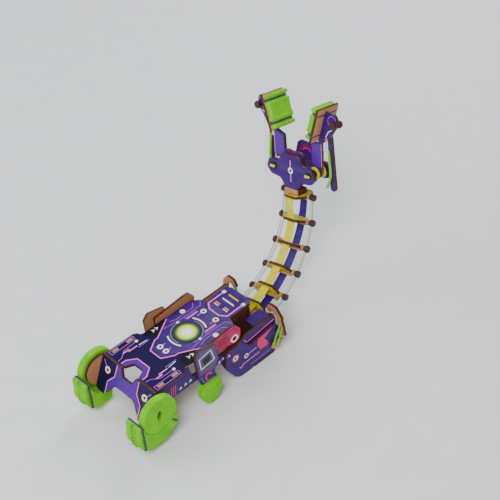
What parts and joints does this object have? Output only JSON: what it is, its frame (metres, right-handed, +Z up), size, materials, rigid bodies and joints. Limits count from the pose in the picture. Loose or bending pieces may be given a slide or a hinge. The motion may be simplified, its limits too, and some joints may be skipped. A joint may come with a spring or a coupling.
{
  "type": "robotic grabber arm kit",
  "caption": "Hand-held grabber arm of slotted wooden plates: foam-padded grips and finger triggers, a bending neck of strung plates and a pair of padded claws.",
  "frame": {"origin": "centre of the whole object's box, at the surface that it stands on", "axes": "+Y forward along the body from the grips to the neck, +Z up, +X to the right of a person who holds the grips"},
  "size_m": [0.1422, 0.3198, 0.1935],
  "materials": {
    "purple_board": "satin",
    "navy_board": "satin",
    "raw_board": "matte",
    "yellow_board": "satin",
    "pink_board": "satin",
    "dark_wood": "matte",
    "green_foam": "matte",
    "yellow_strip": "satin",
    "purple_strip": "satin"
  },
  "bodies": {
    "base": {"top_plate": "navy_board", "rear_plate": "navy_board", "side_plate_left": "purple_board", "side_plate_right": "purple_board", "lobe_plate_left": "purple_board", "lobe_plate_right": "purple_board", "floor_plate": "purple_board", "nose_wall_left": "raw_board", "nose_wall_right": "raw_board", "trigger_axle": "dark_wood", "nose_ear_left": "raw_board", "nose_ear_right": "raw_board", "grip_disc_left": "raw_board", "grip_disc_right": "raw_board", "grip_foam_left": "green_foam", "grip_foam_right": "green_foam", "grip_wrap_left": "green_foam", "grip_wrap_right": "green_foam", "neck_pin": "dark_wood"},
    "trigger_left": {"trigger_lever_left": "pink_board", "trigger_plate_left": "purple_board", "trigger_pad_left": "green_foam"},
    "trigger_right": {"trigger_lever_right": "pink_board", "trigger_plate_right": "purple_board", "trigger_pad_right": "green_foam"},
    "neck_1": {"neck_base": "raw_board", "neck_plate_1": "yellow_board", "knob_bar_1": "dark_wood", "yellow_strip_1": "yellow_strip", "purple_strip_1": "purple_strip"},
    "neck_2": {"neck_plate_2": "yellow_board", "knob_bar_2": "dark_wood", "yellow_strip_2": "yellow_strip", "purple_strip_2": "purple_strip"},
    "neck_3": {"neck_plate_3": "yellow_board", "knob_bar_3": "dark_wood", "yellow_strip_3": "yellow_strip", "purple_strip_3": "purple_strip"},
    "neck_4": {"neck_plate_4": "yellow_board", "knob_bar_4": "dark_wood", "yellow_strip_4": "yellow_strip", "purple_strip_4": "purple_strip"},
    "neck_5": {"neck_plate_5": "yellow_board", "knob_bar_5": "dark_wood", "yellow_strip_5": "yellow_strip", "purple_strip_5": "purple_strip"},
    "head": {"head_collar": "yellow_board", "knob_bar_6": "dark_wood", "head_block": "raw_board", "head_front_plate": "purple_board", "head_middle_plate": "purple_board", "head_back_plate": "purple_board", "claw_pin_left": "dark_wood", "claw_pin_right": "dark_wood"},
    "claw_left": {"claw_arm_left": "purple_board", "claw_pad_left": "green_foam", "claw_board_left": "raw_board"},
    "claw_right": {"claw_arm_right": "purple_board", "claw_pad_right": "green_foam", "claw_board_right": "raw_board"}
  },
  "joints": [
    {"name": "neck_turn", "type": "hinge", "parent": "base", "child": "neck_1", "pos_m": [0.02412, 0.01605, 0.0225], "axis": [0, 0, 1], "range_deg": [-28, 6]},
    {"name": "neck_bend_1", "type": "hinge", "parent": "neck_1", "child": "neck_2", "pos_m": [0.01956, 0.03849, 0.0225], "axis": [1, 0, 0], "range_deg": [-17, 4]},
    {"name": "neck_bend_2", "type": "hinge", "parent": "neck_2", "child": "neck_3", "pos_m": [0.01441, 0.06288, 0.02917], "axis": [1, 0, 0], "range_deg": [-17, 4]},
    {"name": "neck_bend_3", "type": "hinge", "parent": "neck_3", "child": "neck_4", "pos_m": [0.00927, 0.08464, 0.04204], "axis": [1, 0, 0], "range_deg": [-17, 4]},
    {"name": "neck_bend_4", "type": "hinge", "parent": "neck_4", "child": "neck_5", "pos_m": [0.00413, 0.10223, 0.0602], "axis": [1, 0, 0], "range_deg": [-17, 4]},
    {"name": "neck_bend_5", "type": "hinge", "parent": "neck_5", "child": "head", "pos_m": [-0.00102, 0.11441, 0.08235], "axis": [1, 0, 0], "range_deg": [-17, 4]},
    {"name": "trigger_pull_left", "type": "hinge", "parent": "base", "child": "trigger_left", "pos_m": [0.02413, -0.02965, 0.049], "axis": [-1, 0, 0], "range_deg": [-4, 6.5], "stiffness_Nm_per_rad": 1.2},
    {"name": "trigger_pull_right", "type": "hinge", "parent": "base", "child": "trigger_right", "pos_m": [0.02413, -0.02965, 0.049], "axis": [-1, 0, 0], "range_deg": [-4, 6.5], "stiffness_Nm_per_rad": 1.2},
    {"name": "claw_swing_left", "type": "hinge", "parent": "head", "child": "claw_left", "pos_m": [-0.03131, 0.12224, 0.11496], "axis": [0, 0.9724, -0.2334], "range_deg": [-14.5, 24]},
    {"name": "claw_swing_right", "type": "hinge", "parent": "head", "child": "claw_right", "pos_m": [0.01377, 0.12438, 0.12388], "axis": [0, -0.9724, 0.2334], "range_deg": [-14.5, 24]}
  ],
  "couplings": [
    {"joint": "neck_bend_2", "follows": "neck_bend_1", "ratio": 1},
    {"joint": "neck_bend_3", "follows": "neck_bend_1", "ratio": 1},
    {"joint": "neck_bend_4", "follows": "neck_bend_1", "ratio": 1},
    {"joint": "neck_bend_5", "follows": "neck_bend_1", "ratio": 1},
    {"joint": "claw_swing_left", "follows": "trigger_pull_left", "ratio": 3.6},
    {"joint": "claw_swing_right", "follows": "trigger_pull_right", "ratio": 3.6}
  ]
}
